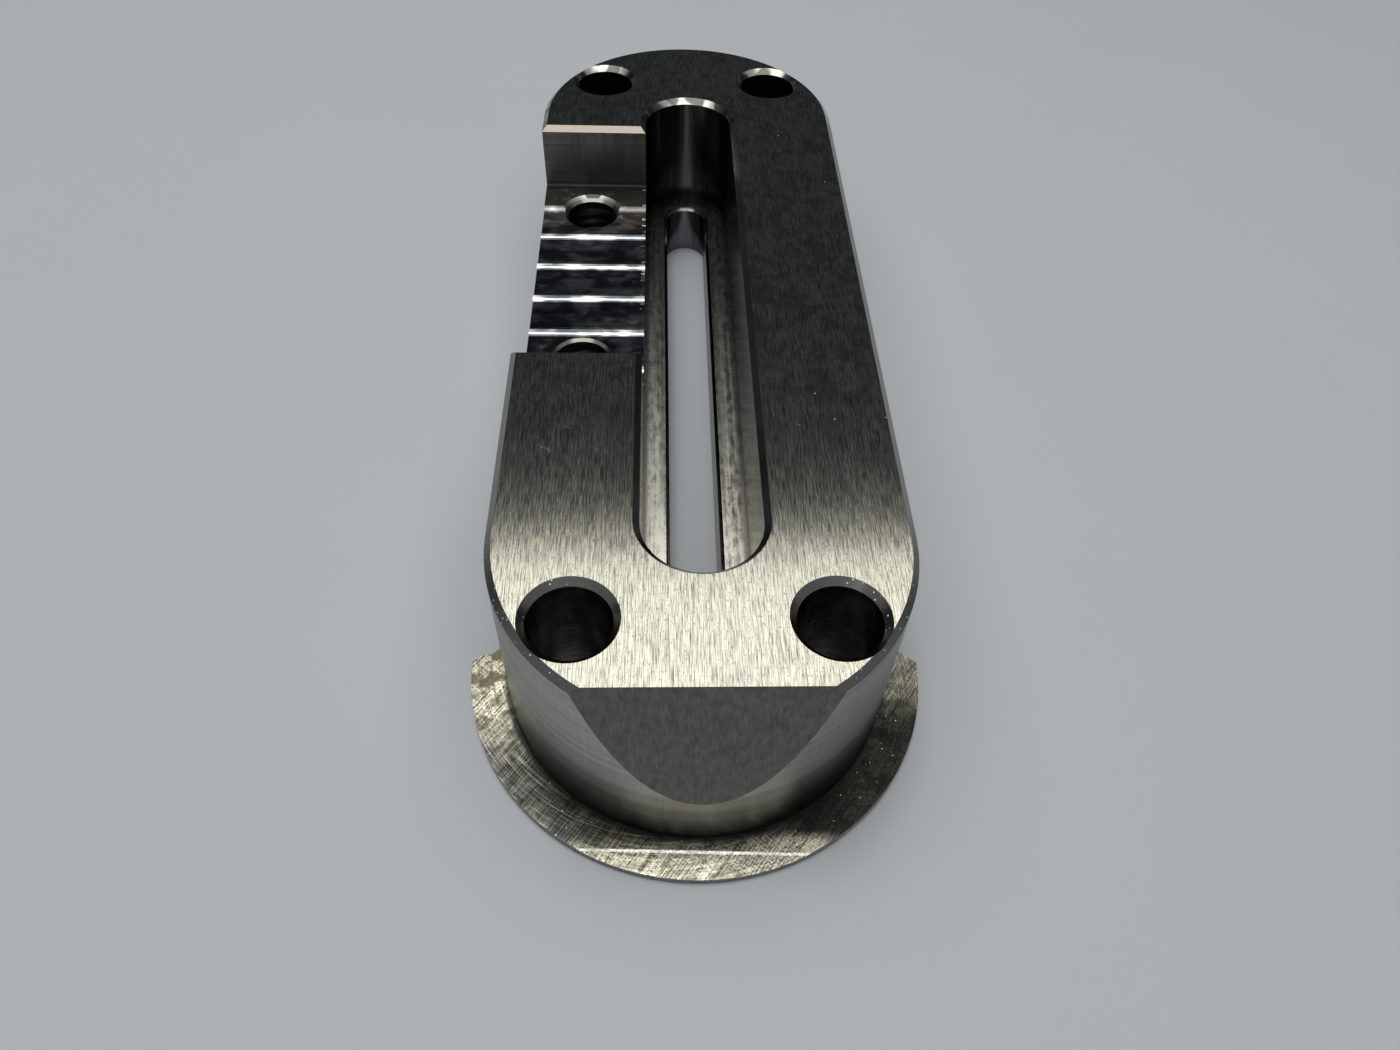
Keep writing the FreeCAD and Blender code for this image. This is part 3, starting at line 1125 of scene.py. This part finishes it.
@dataclass(frozen=True)
class TableTop:
    """Plain pale table that the block lies on, which runs up into the backdrop far from the block."""

    half_width: float = 1500.0
    colour: Colour = (0.415, 0.443, 0.485)
    deep: Colour = (0.395, 0.423, 0.468)
    roughness: float = 0.75
    depth: float = 0.02
    sink: float = 0.02
    clear_radius: float = 200.0
    backdrop_radius: float = 430.0

    def material(self) -> bpy.types.Material:
        """Makes the table's faint paper texture and its change to the backdrop.

        Returns:
            The material.
        """
        g = Graph("table")
        place = g.millimetres()
        x, y, _ = g.parts(place)
        fibres = g.grain(place, (0.5, 0.5, 1.0), 3.0, 2.0)
        clouds = g.grain(place, (22.0, 22.0, 1.0), 2.0, 5.0)
        colour = g.blend(clouds * 0.7 + fibres * 0.3, self.deep, self.colour)
        paper = g.shader(colour, self.roughness, g.relief(fibres, self.depth), metallic=0.0)
        backdrop = g.node("ShaderNodeEmission", {}, {"Color": (*BACKDROP, 1.0), "Strength": 1.0})
        far = g.length(x, y).ramp(self.clear_radius, self.backdrop_radius)
        seen = g.node("ShaderNodeLightPath", {}, {}, "Is Camera Ray")
        mixed = g.node("ShaderNodeMixShader", {}, {0: far * seen, 1: paper, 2: backdrop})
        g.node("ShaderNodeOutputMaterial", {}, {"Surface": mixed})
        return g.material

    def make(self) -> bpy.types.Object:
        """Lays the table under the block.

        Returns:
            The table.
        """
        deselect_all()
        place = (0.0, 0.0, -self.sink * MM)
        bpy.ops.mesh.primitive_plane_add(size=2 * self.half_width * MM, location=place)
        table = bpy.context.active_object
        table.name = "table"
        bpy.ops.object.transform_apply(location=True, rotation=True, scale=True)
        table.data.materials.append(self.material())
        return table


@dataclass(frozen=True)
class SoftBox:
    """A flat diffused lamp.

    Radiance is what the lamp looks like from the block: 1 is a sheet of white paper in full light.
    """

    name: str
    centre: Place
    size: tuple[float, float]
    tilt: Place
    radiance: float
    colour: Colour = (1.0, 1.0, 1.0)

    def make(self) -> bpy.types.Object:
        """Hangs the lamp.

        Returns:
            The lamp.
        """
        lamp = bpy.data.lights.new(self.name, "AREA")
        lamp.shape = "RECTANGLE"
        lamp.size = self.size[0] * MM
        lamp.size_y = self.size[1] * MM
        lamp.color = self.colour
        lamp.energy = self.radiance * math.pi * lamp.size * lamp.size_y
        holder = bpy.data.objects.new(self.name, lamp)
        holder.location = Vector(self.centre) * MM
        holder.rotation_euler = tuple(math.radians(angle) for angle in self.tilt)
        bpy.context.scene.collection.objects.link(holder)
        return holder


class WorldGraph(Graph):
    """The world's node tree."""

    def __init__(self, name: str) -> None:
        """Starts an empty world.

        Args:
            name: the world's name.
        """
        self.world = bpy.data.worlds.new(name)
        self.world.use_nodes = True
        self.tree = self.world.node_tree
        self.tree.nodes.clear()


@dataclass(frozen=True)
class Room:
    """Dim, even room with a pale backdrop, part of which polished metal shows towards its near end."""

    colour: Colour = (0.90, 0.97, 1.10)
    strength: float = 0.045
    shown: float = 0.75
    shown_y: Span = (0.35, 0.0)

    def make(self) -> bpy.types.World:
        """Makes the world.

        Returns:
            The world.
        """
        g = WorldGraph("room")
        y = g.parts(g.node("ShaderNodeTexCoord", {}, {}, "Generated"))[1]
        camera = g.node("ShaderNodeLightPath", {}, {}, "Is Camera Ray")
        rays = camera.socket.node.outputs
        glossy = Value(g, rays["Is Glossy Ray"]) * y.ramp(*self.shown_y) * self.shown
        through = Value(g, rays["Is Transmission Ray"])
        lights = [
            g.node("ShaderNodeBackground", {}, {"Color": (*colour, 1.0), "Strength": strength})
            for colour, strength in ((self.colour, self.strength), (BACKDROP, 1.0))
        ]
        factor = (camera + glossy + through).at_most(1.0)
        mixed = g.node("ShaderNodeMixShader", {}, {0: factor, 1: lights[0], 2: lights[1]})
        g.node("ShaderNodeOutputWorld", {}, {"Surface": mixed})
        bpy.context.scene.world = g.world
        return g.world


@dataclass(frozen=True)
class Viewpoint:
    """Close camera above the inclined end, looking along the block and down.

    The near and far limits of what it sees are in metres.
    """

    place: Place = (-3.1006, -72.754, 71.159)
    heading: float = 3.707
    down: float = 50.14
    roll: float = 2.876
    lens: float = 26.105
    sensor: float = 36.0
    near: float = 0.001
    far: float = 50.0

    def make(self) -> bpy.types.Object:
        """Sets up the camera.

        Returns:
            The camera.
        """
        data = bpy.data.cameras.new("viewpoint")
        data.sensor_fit = "HORIZONTAL"
        data.sensor_width = self.sensor
        data.lens = self.lens
        data.clip_start = self.near
        data.clip_end = self.far
        camera = bpy.data.objects.new("viewpoint", data)
        bpy.context.scene.collection.objects.link(camera)
        yaw, pitch, roll = (math.radians(angle) for angle in (self.heading, self.down, self.roll))
        level = math.cos(pitch)
        ahead = Vector((math.sin(yaw) * level, math.cos(yaw) * level, -math.sin(pitch)))
        right = Vector((math.cos(yaw), -math.sin(yaw), 0.0))
        above = right.cross(ahead)
        across = math.cos(roll) * right + math.sin(roll) * above
        upward = math.cos(roll) * above - math.sin(roll) * right
        turn = Matrix((across, upward, -ahead)).transposed().to_4x4()
        camera.matrix_world = Matrix.Translation(Vector(self.place) * MM) @ turn
        bpy.context.scene.camera = camera
        return camera


# ---------------------------------------------------------------------------------------------
# Helpers and assembly
# ---------------------------------------------------------------------------------------------

def deselect_all() -> None:
    """Leaves nothing selected."""
    bpy.ops.object.select_all(action="DESELECT")


def make_active(piece: bpy.types.Object) -> None:
    """Selects one piece alone and makes it active.

    Args:
        piece: the piece to work on.
    """
    deselect_all()
    piece.select_set(True)
    bpy.context.view_layer.objects.active = piece


def main() -> None:
    """Builds the scene in order."""
    logging.basicConfig(level=logging.INFO, format="%(name)s: %(message)s")
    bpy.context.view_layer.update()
    bpy.context.scene.view_settings.view_transform = "Standard"
    Viewpoint().make()
    Room().make()
    lamps = [
        SoftBox(
            name="ceiling_box", centre=(-50.0, -76.0, 600.0), size=(800.0, 1020.0), tilt=(0.0, 0.0, 0.0),
            radiance=1.70, colour=(1.0, 0.982, 0.90),
        ),
        SoftBox(
            name="key_box", centre=(-60.0, 118.0, 640.0), size=(150.0, 190.0), tilt=(-10.5, -5.4, 0.0),
            radiance=12.0, colour=(1.0, 0.99, 0.96),
        ),
    ]
    for lamp in lamps:
        lamp.make()
        log.info("lamp %s", lamp.name)
    table = TableTop().make()
    log.info("stage %s", table.name)
    block = SlottedBlock().make()
    log.info("piece %s: %d faces", block.name, len(block.data.polygons))


if __name__ == "__main__":
    main()
